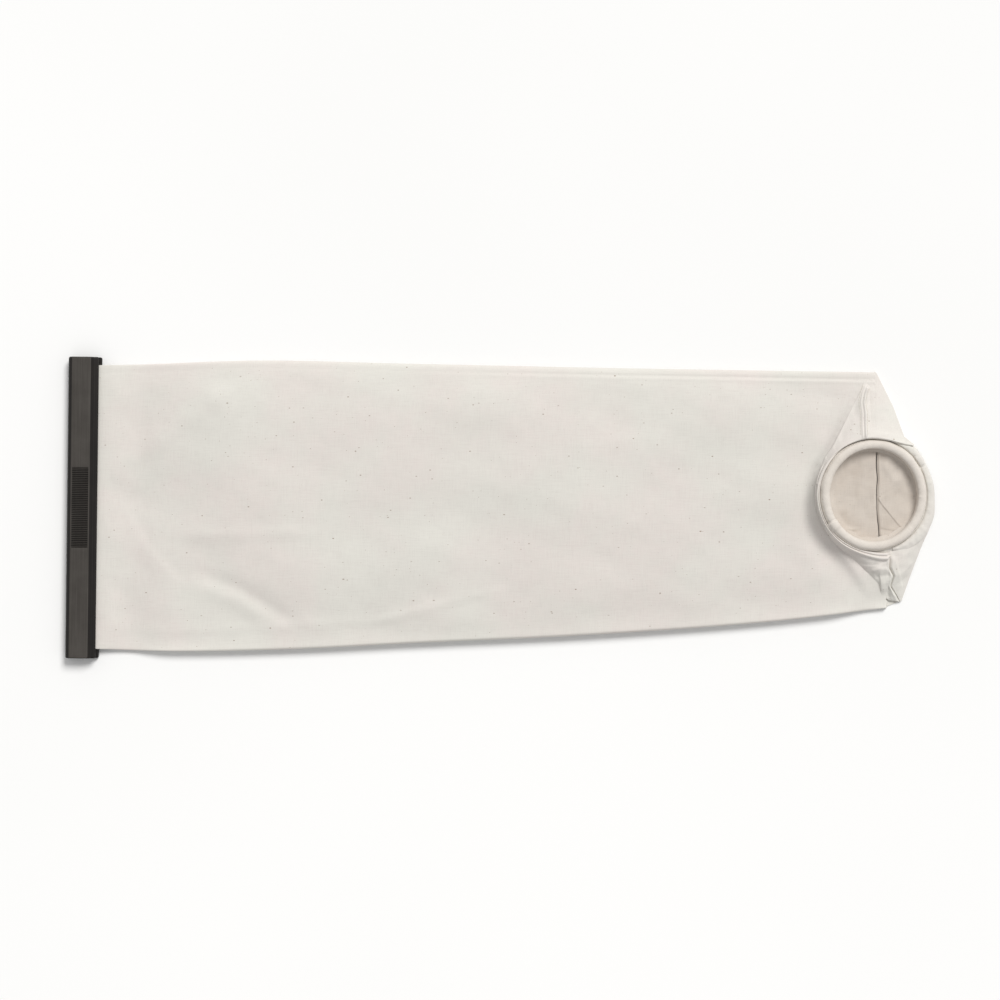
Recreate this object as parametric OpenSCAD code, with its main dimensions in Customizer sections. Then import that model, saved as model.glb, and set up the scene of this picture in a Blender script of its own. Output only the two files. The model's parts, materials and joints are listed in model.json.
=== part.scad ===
// Cloth dust bag of a floor drum sander, laid flat, with its slide-on closure clip.
// Row frame: +X runs from the clip to the mouth, the clip lies along Y, +Z is up.
// The origin is the centre of the bounding box at the level the bag lies on.

/* [Bag] */
// Length over everything, from the back of the clip to the rim of the mouth
overall_l = 691.4; // [680:0.2:700]
// Thickness of the cotton cloth
cloth_t = 0.8; // [0.6:0.1:0.9]
// How far the upper cloth stands above the lower one in the middle of the bag
crown_h = 11; // [9:0.5:13]
// Gap between two layers of cloth that lie on each other
layer_gap = 0.4; // [0.3:0.1:0.6]
// Gap between the two layers at the fold, inside the bend
fold_gap = 1; // [0.8:0.1:1.4]

/* [Mouth] */
// Radius of the mouth to the middle of its cord
mouth_r = 40.3; // [40:0.1:40.6]
// Outer radius of the cloth binding round the cord
bead_r = 4; // [3.9:0.1:4.1]
// Radius of the flattened inner wall that grips the dust pipe
bore_r = 36.7; // [36.5:0.1:36.9]
// Tilt of the mouth towards the free end of the bag
mouth_tilt = 11; // [10:0.5:12]
// Height of the middle of the mouth above the table
mouth_z = 16; // [15.5:0.1:16.5]
// Sideways place of the mouth
mouth_y = 17.5; // [16:0.5:19]

/* [Clip] */
// Length of the closure clip
clip_l = 240; // [236:1:250]
// Width of its upper jaw
clip_w = 23.9; // [23.5:0.1:24.5]
// Height of the clip
clip_h = 12; // [11.6:0.1:12.6]
// How far the lower lip stands out past the upper one
lip_step = 1.7; // [1:0.1:2.5]
// Number of ribs in the finger grip
grip_ribs = 44; // [20:1:50]
// Length of the finger grip
grip_l = 64; // [40:1:80]

/* [Hems] */
// Width of the stiffening strip in each hem
strip_w = 11.2; // [10.8:0.1:11.2]
// Thickness of the stiffening strip
strip_t = 1.2; // [0.8:0.1:1.2]

/* [Hidden] */
$fn = 96;
cloth_colour = [0.89, 0.87, 0.84];
thread_colour = [0.95, 0.94, 0.9];
strip_colour = [0.97, 0.97, 0.97];
clip_colour = [0.2, 0.19, 0.18];

// Clip section, measured from the back of the clip
clip_x = -overall_l / 2;
cavity_x0 = 3;
cavity_x1 = 20.8;
cavity_z0 = 2.2;
cavity_z1 = 8.8;
slot_z0 = 4.2;
slot_z1 = 6.8;
land_x0 = 3.5;
land_x1 = 17.9;
lip_top_z = 9.8;
end_chamfer = 1.5;
grip_depth = 0.9;
grip_rise = 0.2;

// Hems: the two layers meet at this height inside the clip
meet_z = 5.5;
hem_x0 = clip_x + 4.2;
hem_x1 = clip_x + 17.2;
stitch_x1 = clip_x + 20.2;
sheet_x0 = clip_x + 22.7;
hem_y0 = -112;
hem_y1 = 113;
hem_h = 2.9;
strip_room = 0.1;
thread_t = 0.3;

// Edges of the flat bag, from the clip to the fold
level_x = -285;
upper_edge = [[-323, 113], [-285, 114.5], [-200, 118.5], [-80, 117.5], [80, 116], [300, 115]];
lower_edge = [[-323, -112], [-285, -113], [-160, -110], [-80, -105], [80, -95.5], [240, -81], [308, -72]];
fold_top = [297, 115];
fold_low = [308, -72];
// The crumpled lower corner of the mouth end
low_corner = [318, -66];

// Mouth
mouth_x = overall_l / 2 - 50.4;
lip_r = 50.4;
gusset_r = 48.8;
band_r0 = mouth_r + bead_r + 0.05;
band_t = 1.6;
band_depth = 16;
thread_drop = 3;
binding_wall = 1.4;
tail_depth = 4.5;
cord_r = 2.2;
cord_gap = 3;
splice_arc = 17;
splice_t = 0.3;
lap_t = 0.5;
lap_angle = 213;
lap_arc = 10;

// Seams
allowance_t = 0.94;
allowance_w = 6;
shoulder_w = 2.4;
shoulder_t = 1;
shoulder_lift = 0.2;
sewn_gap = 0.02;

// Stations along the bag and places across it, 1 being the edge
stations = [-323, -316, -309, -302, -295, -285, -260, -220, -160, -80, 0, 80, 160, 220, 260, 285];
across = [-1, -0.97, -0.9, -0.75, -0.5, -0.2, 0.2, 0.5, 0.75, 0.9, 0.97, 1];
seam_t = 0.97;
crown_shape = [[-323, 0], [-285, 0.36], [-220, 0.82], [-100, 1], [150, 1], [240, 0.78], [308, 0.52]];

function mix(a, b, f) = a + (b - a) * f;
function smooth(f) = let(g = max(0, min(1, f))) g * g * (3 - 2 * g);
function y_hi(x) = lookup(x, upper_edge);
function y_lo(x) = lookup(x, lower_edge);
function y_mid(x) = (y_hi(x) + y_lo(x)) / 2;
function y_half(x) = (y_hi(x) - y_lo(x)) / 2;
// Top of the lower cloth: it leaves the clip at meet_z and comes down to the table
function back_top(x) = mix(meet_z, cloth_t, smooth((x - sheet_x0) / (level_x - sheet_x0)));
// Share of the crown at a place across the bag
function bulge(t) = abs(t) >= seam_t ? 0 : pow(1 - pow(abs(t) / seam_t, 3), 0.6);
function crown(x) = crown_h * lookup(x, crown_shape);
// Top of the upper cloth
function front_top(x, y) =
    back_top(x) + cloth_t + crown(x) * bulge((y - y_mid(x)) / y_half(x));
// Top of the flap that is folded back over the upper cloth
function flap_top(x, y) = front_top(x, y) + fold_gap + cloth_t;
function on_ring(r, a) = [mouth_x + r * cos(a), mouth_y + r * sin(a)];
// One row of plan points at station x, or along the fold
function row_at(x) = [for (t = across) [x, y_mid(x) + t * y_half(x)]];
function fold_row() = [for (t = across) mix(fold_low, fold_top, (t + 1) / 2)];
body_rows = concat([for (x = stations) row_at(x)], [fold_row()]);
seam_stations = [for (x = stations) if (x >= -260) x];
upper_gusset_rows = gusset_rows(fold_top, 130, 46, 15);
lower_gusset_rows = gusset_rows(low_corner - [3, -2], 256, 326, 13);

// Rows of points put in the order that makes the sheet's first grid face up
function cross_z(a, b) = a[0] * b[1] - a[1] * b[0];
function turned(row) = [for (j = [len(row) - 1:-1:0]) row[j]];
function facing_up(rows) =
    cross_z(rows[1][1] - rows[0][1], rows[1][1] - rows[1][0]) > 0 ? rows : [for (r = rows) turned(r)];

// A closed sheet of cloth, given by the rows of points on its top and each row's thickness
module sheet(rows, thickness) {
    top = facing_up(rows);
    n_rows = len(top);
    n_cols = len(top[0]);
    size = n_rows * n_cols;
    points = concat(
        [for (r = top) each r],
        [for (i = [0:n_rows - 1]) for (p = top[i])
            p - [0, 0, is_list(thickness) ? thickness[i] : thickness]]
    );
    upper = [
        for (i = [0:n_rows - 2]) for (j = [0:n_cols - 2])
            let(a = i * n_cols + j, b = a + n_cols)
            each [[a, a + 1, b + 1], [a, b + 1, b]]
    ];
    lower = [for (f = upper) [f[2] + size, f[1] + size, f[0] + size]];
    rim = concat(
        [for (j = [0:n_cols - 1]) j],
        [for (i = [1:n_rows - 1]) i * n_cols + n_cols - 1],
        [for (j = [1:n_cols - 1]) n_rows * n_cols - 1 - j],
        [for (i = [1:n_rows - 2]) (n_rows - 1 - i) * n_cols]
    );
    count = len(rim);
    sides = [
        for (k = [0:count - 1])
            let(a = rim[k], b = rim[(k + 1) % count])
            each [[a, a + size, b + size], [a, b + size, b]]
    ];
    polyhedron(points, concat(upper, lower, sides), convexity = 6);
}

// Turns a section drawn in X and Z into a bar that runs along Y
module along_y(y0, y1) {
    translate([0, y1, 0])
        rotate([90, 0, 0])
            linear_extrude(height = y1 - y0)
                children();
}

// Moves a shape drawn round the origin to the tilted mouth
module at_mouth() {
    translate([mouth_x, mouth_y, mouth_z])
        rotate([0, mouth_tilt, 0])
            children();
}

// Section of the lower cloth's hem: a casing for its strip, then the doubled edge that is stitched
module hem_section() {
    difference() {
        translate([hem_x0, meet_z - hem_h])
            square([hem_x1 - hem_x0, hem_h]);
        translate([hem_x0 + cloth_t, meet_z - hem_h + cloth_t])
            square([strip_w + strip_room * 2, hem_h - cloth_t * 2]);
    }
    translate([hem_x1, meet_z - cloth_t * 2])
        square([stitch_x1 - hem_x1, cloth_t * 2]);
    translate([stitch_x1, meet_z - cloth_t])
        square([sheet_x0 - stitch_x1, cloth_t]);
}

// Turns what belongs to the lower hem over, for the upper one
module for_upper_hem() {
    translate([0, 0, meet_z])
        mirror([0, 0, 1])
            translate([0, 0, -meet_z])
                children();
}

module hem_bar() {
    along_y(hem_y0, hem_y1)
        hem_section();
}

module hem_strip() {
    color(strip_colour)
        translate([hem_x0 + cloth_t + strip_room, hem_y0 + 1, meet_z - hem_h + cloth_t + strip_room / 2])
            cube([strip_w, hem_y1 - hem_y0 - 2, strip_t]);
}

module hem_thread() {
    color(thread_colour)
        translate([hem_x1 + 1.2, hem_y0, meet_z - cloth_t * 2 - thread_t])
            cube([thread_t, hem_y1 - hem_y0, thread_t]);
}

// Lower cloth: hem, slope down to the table, flat body and the lip past the fold
module back_panel() {
    slope = [for (x = stations) if (x <= level_x) [x, back_top(x)]];
    level = concat(slope, [[overall_l, cloth_t]]);
    lip = [for (a = [46:-6:-26]) on_ring(lip_r, a)];
    outline = concat(
        [for (x = stations) [x, y_hi(x)]],
        [fold_top],
        lip,
        [low_corner, fold_low],
        [for (x = turned(stations)) [x, y_lo(x)]]
    );
    color(cloth_colour) {
        hem_bar();
        intersection() {
            linear_extrude(height = clip_h)
                polygon(outline);
            along_y(-clip_l, clip_l)
                polygon(concat(level, [for (p = turned(level)) p - [0, cloth_t]]));
        }
    }
}

// Upper cloth: hem and the crowned body as far as the fold
module front_panel() {
    color(cloth_colour) {
        for_upper_hem()
            hem_bar();
        sheet([for (r = body_rows) [for (p = r) [p[0], p[1], front_top(p[0], p[1])]]], cloth_t);
    }
}

// End of the upper cloth, turned back at the fold: the left half of the mouth's floor
module front_mouth_flap() {
    from_fold = [0, 0.018, 0.03, 0.3, 0.5, 0.7, 0.85, 1];
    rim_r = mouth_r + bead_r + band_t;
    rim = [for (t = across) on_ring(rim_r, mix(252, 130, (t + 1) / 2))];
    rows = [for (s = from_fold) [for (k = [0:len(across) - 1])
        let(p = mix(fold_row()[k], rim[k], s))
        [p[0], p[1], flap_top(p[0], p[1])]]];
    thickness = [for (s = from_fold)
        s == 0 ? cloth_t + fold_gap : s < 0.02 ? cloth_t + fold_gap / 3 : cloth_t];
    color(cloth_colour)
        sheet(rows, thickness);
}

// Corner of the mouth end: a triangle from its apex to the arc a0 to a1 of the mouth's rim
function gusset_rows(apex, a0, a1, peak) =
    [for (s = [0.06, 0.2, 0.4, 0.6, 0.8, 1]) [for (k = [0:6]) let(
        f = k / 6,
        p = mix(apex, on_ring(gusset_r, mix(a0, a1, f)), s),
        past_fold = smooth((p[0] - fold_low[0]) / 12),
        below = mix(flap_top(p[0], p[1]), cloth_t, past_fold),
        rest = below + layer_gap + cloth_t,
        ridge = max(0, peak - rest) * (1 - pow(2 * f - 1, 2)) * s
    ) [p[0], p[1], rest + ridge]]];

module upper_gusset() {
    color(cloth_colour)
        sheet(upper_gusset_rows, cloth_t);
}

module lower_gusset() {
    color(cloth_colour)
        sheet(lower_gusset_rows, cloth_t);
}

// Raised seam along the middle of a gusset, lying on the cloth to both sides
module shoulder_seam(rows) {
    strip = [for (i = [1:len(rows) - 1]) [for (side = [-1, 0, 1]) let(
        middle = rows[i][3],
        beside = rows[i][3 + side],
        reach = side == 0 ? 0 : shoulder_w / 2 / norm(beside - middle),
        height = shoulder_t * (1 - abs(side) / 2)
    ) mix(middle, beside, reach) + [0, 0, shoulder_lift + height]]];
    color(cloth_colour)
        sheet(strip, shoulder_t / 2);
}

// Rolled cloth edges inside the bag, along one side
module seam_allowance(side) {
    rows = [for (x = seam_stations) [for (inset = [allowance_w, 0])
        [x, y_mid(x) + side * (allowance_t * y_half(x) - inset), back_top(x) + cloth_t]]];
    color(cloth_colour)
        sheet(rows, cloth_t);
}

module seam_thread(side) {
    rows = [for (x = seam_stations) [for (inset = [thread_t, 0])
        [x, y_mid(x) + side * (allowance_t * y_half(x) - allowance_w / 2 - inset),
            back_top(x) + cloth_t + thread_t]]];
    color(thread_colour)
        sheet(rows, thread_t);
}

// Turned-over collar of cloth that stands round the mouth and carries the binding
module neck_band() {
    half = band_t / 2;
    color(cloth_colour)
        difference() {
            at_mouth()
                rotate_extrude()
                    translate([band_r0, 0]) {
                        translate([0, -band_depth])
                            square([band_t, band_depth]);
                        translate([half, 0])
                            circle(half);
                    }
            along_y(-clip_l, clip_l)
                polygon([
                    [mouth_x - 60, -20], [mouth_x - 60, 12.1], [mouth_x + 5, 9.4], [fold_low[0] + 1, 9.3],
                    [fold_low[0] + 7, 1.1], [overall_l, 1.1], [overall_l, -20]
                ]);
        }
}

module neck_band_thread() {
    color(thread_colour)
        at_mouth()
            rotate_extrude()
                translate([band_r0 + band_t + sewn_gap, -thread_drop])
                    square(thread_t);
}

// Casing round the cord, with the tail by which it is sewn to the band
module mouth_binding() {
    color(cloth_colour)
        at_mouth()
            rotate_extrude()
                difference() {
                    union() {
                        translate([mouth_r, 0])
                            circle(bead_r);
                        translate([mouth_r + bead_r - cloth_t, -tail_depth])
                            square([cloth_t, tail_depth]);
                    }
                    translate([mouth_r, 0])
                        circle(bead_r - binding_wall);
                    translate([0, -bead_r * 2])
                        square([bore_r, bead_r * 4]);
                }
}

// End of the binding, folded under and lapped over its beginning
module binding_lap() {
    color(cloth_colour)
        at_mouth()
            rotate([0, 0, lap_angle])
                rotate_extrude(angle = lap_arc)
                    difference() {
                        translate([mouth_r, 0])
                            circle(bead_r + lap_t);
                        translate([mouth_r, 0])
                            circle(bead_r);
                        translate([0, -bead_r * 2])
                            square([bore_r, bead_r * 4]);
                        translate([0, -bead_r * 2])
                            square([mouth_r * 2, bead_r * 2 - 1]);
                        translate([mouth_r + bead_r - cloth_t, -bead_r])
                            square(bead_r * 2);
                    }
}

module binding_thread() {
    color(thread_colour)
        at_mouth()
            rotate_extrude()
                translate([mouth_r + bead_r - cloth_t - thread_t - sewn_gap, -tail_depth + thread_t])
                    square(thread_t);
}

// Elastic cord inside the binding; its ends meet in the splice
module mouth_cord() {
    color(strip_colour)
        at_mouth()
            rotate([0, 0, lap_angle])
                rotate_extrude(angle = 360 - cord_gap)
                    translate([mouth_r, 0])
                        circle(cord_r);
}

module cord_splice() {
    color(thread_colour)
        at_mouth()
            rotate([0, 0, lap_angle - cord_gap / 2 - splice_arc / 2])
                rotate_extrude(angle = splice_arc)
                    translate([mouth_r, 0])
                        difference() {
                            circle(cord_r + splice_t);
                            circle(cord_r);
                        }
}

// Section of the clip, from the back at 0 to its lips
module clip_section() {
    lower_w = clip_w + lip_step;
    polygon([
        [0.8, 0], [lower_w - 0.8, 0], [lower_w, 0.8], [lower_w, slot_z0 - 0.8],
        [lower_w - 0.6, slot_z0], [cavity_x1, slot_z0], [cavity_x1, cavity_z0],
        [cavity_x0, cavity_z0], [cavity_x0, cavity_z1], [cavity_x1, cavity_z1],
        [cavity_x1, slot_z1], [clip_w - 0.5, slot_z1], [clip_w, slot_z1 + 0.5],
        [clip_w, lip_top_z - 0.8], [clip_w - 0.8, lip_top_z], [land_x1 + 3, lip_top_z],
        [land_x1, clip_h], [land_x0, clip_h], [1, clip_h - 1.8], [0, clip_h - 3.4], [0, 0.8]
    ]);
}

// Plan of the clip with its corners taken off
module clip_plan() {
    far = clip_w + lip_step;
    c = end_chamfer;
    y = clip_l / 2;
    polygon([[0, c - y], [c, -y], [far - c, -y], [far, c - y], [far, y - c], [far - c, y], [c, y], [0, y - c]]);
}

// Teeth between the ribs of the finger grip, cut along X
module grip_cut() {
    pitch = grip_l / grip_ribs;
    top = clip_h + 1;
    ribs = [for (i = [0:grip_ribs - 1]) let(y = -grip_l / 2 + i * pitch)
        each [[y, clip_h - grip_depth], [y + pitch * 0.3, clip_h - grip_depth],
            [y + pitch * 0.5, clip_h - grip_rise], [y + pitch * 0.8, clip_h - grip_rise]]];
    translate([land_x0 + 0.6, 0, 0])
        rotate([90, 0, 90])
            linear_extrude(height = land_x1 - land_x0 - 1.2)
                polygon(concat(ribs, [[grip_l / 2, clip_h - grip_depth], [grip_l / 2, top], [-grip_l / 2, top]]));
}

module closure_clip() {
    color(clip_colour)
        translate([clip_x, 0, 0])
            difference() {
                intersection() {
                    along_y(-clip_l / 2, clip_l / 2)
                        clip_section();
                    linear_extrude(height = clip_h * 2)
                        clip_plan();
                }
                grip_cut();
            }
}

back_panel();
front_panel();
front_mouth_flap();
upper_gusset();
lower_gusset();
seam_allowance(1);  // upper_seam_allowance
seam_allowance(-1);  // lower_seam_allowance
seam_thread(1);  // upper_seam_thread
seam_thread(-1);  // lower_seam_thread
shoulder_seam(upper_gusset_rows);  // upper_shoulder_seam
shoulder_seam(lower_gusset_rows);  // lower_shoulder_seam
for_upper_hem() hem_strip();  // front_hem_strip
hem_strip();  // back_hem_strip
for_upper_hem() hem_thread();  // front_hem_thread
hem_thread();  // back_hem_thread
neck_band();
neck_band_thread();
mouth_binding();
binding_lap();
binding_thread();
mouth_cord();
cord_splice();
closure_clip();
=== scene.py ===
import json
import math

import bpy
import numpy as np
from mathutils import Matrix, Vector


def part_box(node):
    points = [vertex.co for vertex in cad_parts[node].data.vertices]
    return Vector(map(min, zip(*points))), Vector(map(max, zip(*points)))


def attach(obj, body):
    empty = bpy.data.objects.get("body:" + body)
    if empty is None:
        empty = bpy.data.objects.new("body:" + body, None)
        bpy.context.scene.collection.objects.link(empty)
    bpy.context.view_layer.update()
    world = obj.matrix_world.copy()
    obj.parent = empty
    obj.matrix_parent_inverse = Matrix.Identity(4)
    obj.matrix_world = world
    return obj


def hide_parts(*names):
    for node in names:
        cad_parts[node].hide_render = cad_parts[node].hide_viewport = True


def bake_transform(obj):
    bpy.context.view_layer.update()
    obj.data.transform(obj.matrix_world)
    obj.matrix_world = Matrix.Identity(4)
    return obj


# A cloth dust bag of a floor sander, laid flat, with its slide-on closure clip.
# All shapes below are worked out in millimetres, in the frame of the CAD model.

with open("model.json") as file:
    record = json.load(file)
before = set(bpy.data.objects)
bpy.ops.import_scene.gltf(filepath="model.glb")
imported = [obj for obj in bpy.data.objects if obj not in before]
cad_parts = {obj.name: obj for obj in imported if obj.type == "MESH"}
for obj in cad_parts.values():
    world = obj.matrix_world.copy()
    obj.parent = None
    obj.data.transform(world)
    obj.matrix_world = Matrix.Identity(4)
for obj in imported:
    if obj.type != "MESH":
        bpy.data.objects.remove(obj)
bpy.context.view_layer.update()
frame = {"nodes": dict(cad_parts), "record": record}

MM = 0.001
CLOTH = 0.8  # thickness of the calico

# ---------------------------------------------------------------- places from the frame
clip_lo, clip_hi = (np.array(c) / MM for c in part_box("closure_clip"))
strip_lo, strip_hi = (np.array(c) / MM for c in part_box("back_hem_strip"))
mouth_mount = next(m for m in frame["record"]["mounts"] if m["name"] == "mouth")
MOUTH = np.array(mouth_mount["pos_m"]) / MM
MOUTH_N = np.array(mouth_mount["axis"])
BORE_R = mouth_mount["dims"]["r_mm"]
RING_R = 40.3  # middle of the binding round the cord
BEAD_R = 4.0  # radius of the binding itself
SHEET_X0 = clip_hi[0] - 2.9  # where both cloths come out of their hems
HEM_Y = (strip_lo[1] - 1, strip_hi[1] + 1)
MEET_Z = 5.5  # height at which the two hems meet in the clip

# Edges of the flat bag, and the fold where the upper cloth turns back at the mouth
UPPER_EDGE = [(-323, 113), (-285, 114.5), (-200, 118.4), (-80, 117.5), (80, 116), (300, 115)]
LOWER_EDGE = [(-323, -112), (-285, -113), (-160, -110), (-80, -105), (80, -95.5), (240, -81), (308, -72)]
FOLD_TOP = (297, 115)
FOLD_LOW = (308, -72)
CROWN = [(-323, 0), (-285, 3.96), (-220, 9), (-100, 11), (150, 11), (240, 8.6), (308, 5.7)]
# Outline of the mouth end, from the top corner down the right side, as (y, x)
RIGHT_SIDE = [
    (-72, 308.2), (-67.2, 320.2), (-32, 332.6), (-9.4, 341.6), (2.2, 345), (11.7, 345.2), (28, 342.9),
    (41.4, 338.9), (50, 334), (57, 327.8), (64, 320.2), (87, 312), (115.6, 297.8),
]


# ---------------------------------------------------------------- small tools
def smooth(f):
    f = np.clip(f, 0, 1)
    return f * f * (3 - 2 * f)


def mix(a, b, f):
    return a + (b - a) * f


def through(points, x):
    """A smooth curve through a table of (place, value), read at x. A value may be a point."""
    places = np.array([p[0] for p in points], float)
    values = np.array([p[1] for p in points], float)
    slopes = np.gradient(values, places, axis=0)
    x = np.clip(np.asarray(x, float), places[0], places[-1])
    i = np.clip(np.searchsorted(places, x, side="right") - 1, 0, len(places) - 2)
    h = places[i + 1] - places[i]
    t = (x - places[i]) / h
    if values.ndim > 1:
        h, t = h[..., None], t[..., None]
    return (
        values[i] * (1 + 2 * t) * (1 - t) ** 2 + slopes[i] * h * t * (1 - t) ** 2
        + values[i + 1] * t * t * (3 - 2 * t) + slopes[i + 1] * h * t * t * (t - 1)
    )


def reach_of(p):
    """How far along a line each of its points lies."""
    return np.concatenate([[0], np.cumsum(np.linalg.norm(np.diff(p, axis=0), axis=1))])


def path(points, f):
    """Points along a smooth line through points, f being the share of the way."""
    p = np.array(points, float)
    reach = reach_of(p)
    return through(list(zip(reach / reach[-1], p)), f)


def read_off(at, reach, values):
    """The rows of values, given at the places reach, read at another place or places."""
    return np.stack([np.interp(at, reach, column) for column in values.T], -1)


def straight(points, f):
    """Points along a polyline with sharp corners."""
    p = np.array(points, float)
    reach = reach_of(p)
    return read_off(f * reach[-1], reach, p)


def hump(d, width):
    """A soft bump, 1 at distance 0, that has faded at about twice its width."""
    return np.exp(-((d / width) ** 2))


def waves(x, y, size, seed, count=14, spread=0.5):
    """A smooth random field, about -1 to 1, whose bumps are about size apart."""
    r = np.random.default_rng(seed)
    total = np.zeros(np.broadcast(x, y).shape)
    for _ in range(count):
        a = r.uniform(0, math.pi)
        k = 2 * math.pi / (size * r.uniform(1 - spread, 1 + spread))
        total += np.cos(k * (x * math.cos(a) + y * math.sin(a)) + r.uniform(0, 2 * math.pi))
    return total / math.sqrt(count)


def beside(x, y, line):
    """Distance from a polyline, which side of it, and how far along."""
    p = np.array(line, float)
    best, share, side = np.full(x.shape, 1e9), np.zeros(x.shape), np.ones(x.shape)
    lengths = np.hypot(*np.diff(p, axis=0).T)
    done = 0
    for (ax, ay), (bx, by), length in zip(p[:-1], p[1:], lengths):
        dx, dy = bx - ax, by - ay
        t = np.clip(((x - ax) * dx + (y - ay) * dy) / length**2, 0, 1)
        d = np.hypot(x - ax - t * dx, y - ay - t * dy)
        closer = d < best
        best = np.where(closer, d, best)
        share = np.where(closer, (done + t * length) / lengths.sum(), share)
        side = np.where(closer, np.sign((x - ax) * dy - (y - ay) * dx), side)
        done += length
    return best, side, share


def ridge(x, y, line, width, height, ends=0.25):
    """A soft ridge, or a valley where height is negative, along a line."""
    d, _, share = beside(x, y, line)
    return height * hump(d, width) * smooth(share / ends) * smooth((1 - share) / ends)


def folds(x, y, table):
    """The sum of several ridges and valleys, each given as (line, width, height, ends)."""
    return sum(ridge(x, y, *row) for row in table)


def crease(x, y, line, height, reach, sharp=0.6, ends=0.2):
    """A fold line: the cloth on its right side stands up sharply and falls away slowly."""
    d, side, share = beside(x, y, line)
    signed = d * side
    rise = 0.5 * (1 + np.tanh(signed / sharp))
    fade = smooth(share / ends) * smooth((1 - share) / ends)
    return height * rise * np.exp(-np.clip(signed, 0, None) / reach) * fade


# ---------------------------------------------------------------- meshes
def make(name, verts, faces, weave, material):
    """A smooth mesh from points in mm, which keeps the cloth's own coordinates as "weave"."""
    mesh = bpy.data.meshes.new(name)
    mesh.from_pydata((np.asarray(verts) * MM).tolist(), [], [tuple(int(i) for i in f) for f in faces])
    mesh.update()
    a = mesh.attributes.new("weave", "FLOAT_VECTOR", "POINT")
    a.data.foreach_set("vector", np.asarray(weave, np.float32).ravel())
    mesh.polygons.foreach_set("use_smooth", np.ones(len(mesh.polygons), bool))
    obj = bpy.data.objects.new(name, mesh)
    bpy.context.scene.collection.objects.link(obj)
    obj.data.materials.append(material)
    return obj


def lengths_along(points, axis):
    """Lengths from the first row or column of a grid of points, measured along it."""
    step = np.linalg.norm(np.diff(points, axis=axis), axis=-1)
    zero = np.zeros_like(np.take(step, [0], axis=axis))
    return np.concatenate([zero, np.cumsum(step, axis=axis)], axis=axis)


def grid(name, points, material, loop=False, ring=False, weave="plan", flip=None):
    """A mesh of quads over points[row, column].

    loop joins the last row to the first, ring the last column to the first.
    """
    rows, cols = points.shape[:2]
    index = np.arange(rows * cols).reshape(rows, cols)
    if loop:
        index = np.concatenate([index, index[:1]], 0)
    if ring:
        index = np.concatenate([index, index[:, :1]], 1)
    a, b, c, d = index[:-1, :-1], index[:-1, 1:], index[1:, 1:], index[1:, :-1]
    faces = np.stack([a, b, c, d], -1).reshape(-1, 4)
    flat = points.reshape(-1, 3)
    if flip is None:
        n = np.cross(flat[faces[:, 1]] - flat[faces[:, 0]], flat[faces[:, 3]] - flat[faces[:, 0]])
        flip = n[:, 2].sum() < 0
    if flip:
        faces = faces[:, ::-1]
    if weave == "plan":
        coords = flat * MM
    else:
        along = lengths_along(points, 0).mean(1, keepdims=True) * np.ones((1, cols))
        across = lengths_along(points, 1).mean(0, keepdims=True) * np.ones((rows, 1))
        coords = np.stack([along, across, np.zeros_like(along)], -1).reshape(-1, 3) * MM
        if weave == "bias":
            u, v, w = coords.T
            coords = np.stack([u + v, u - v, w], -1) * math.sqrt(0.5)
    return make(name, flat, faces, coords, material)


def settle(obj, thickness=CLOTH, levels=1):
    """Gives a sheet its thickness, rounds it, and keeps the result as a plain mesh."""
    m = obj.modifiers.new("thickness", "SOLIDIFY")
    m.thickness, m.offset, m.use_even_offset = thickness * MM, -1, False
    if levels:
        s = obj.modifiers.new("round", "SUBSURF")
        s.levels = s.render_levels = levels
    dg = bpy.context.evaluated_depsgraph_get()
    dg.update()
    ready = obj.evaluated_get(dg)
    mesh = bpy.data.meshes.new_from_object(ready, preserve_all_data_layers=True, depsgraph=dg)
    mesh.name = obj.name
    obj.modifiers.clear()
    old = obj.data
    obj.data = mesh
    bpy.data.meshes.remove(old)
    mesh.polygons.foreach_set("use_smooth", np.ones(len(mesh.polygons), bool))
    return obj


def stitches(name, line, material, up=(0, 0, 1), length=2.3, gap=0.7, radius=0.17, rise=0.22):
    """A row of sewn stitches along a line of points, each a short hump of thread."""
    line = np.asarray(line, float)
    reach = reach_of(line)
    up = np.broadcast_to(np.asarray(up, float), line.shape)
    verts, faces, coords = [], [], []
    start, sides = 0.4, 7
    humps = [(-0.5, -0.35), (-0.44, 0.2), (-0.2, 0.85), (0.2, 0.85), (0.44, 0.2), (0.5, -0.35)]
    while start + length < reach[-1]:
        rings = []
        for t, h in humps:
            s = start + length * (t + 0.5)
            p = read_off(s, reach, line)
            n = read_off(s, reach, up)
            n /= np.linalg.norm(n)
            d = read_off(s + 0.05, reach, line) - p
            d /= np.linalg.norm(d)
            w = np.cross(n, d)
            w /= np.linalg.norm(w)
            thin = 0.65 if abs(t) > 0.45 else 1
            rings.append([
                p + n * rise * h + radius * thin * (w * math.cos(a) + n * math.sin(a) * 0.8)
                for a in np.linspace(0, 2 * math.pi, sides, endpoint=False)
            ])
            coords += [(s * MM, k * 0.15 * MM, 0) for k in range(sides)]
        base = len(verts)
        for r in rings:
            verts += r
        for i in range(len(humps) - 1):
            for k in range(sides):
                j = (k + 1) % sides
                here, there = base + i * sides, base + (i + 1) * sides
                faces.append((here + k, here + j, there + j, there + k))
        faces.append(tuple(base + k for k in range(sides))[::-1])
        faces.append(tuple(base + (len(humps) - 1) * sides + k for k in range(sides)))
        start += length + gap
    return make(name, verts, faces, coords, material)


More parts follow.
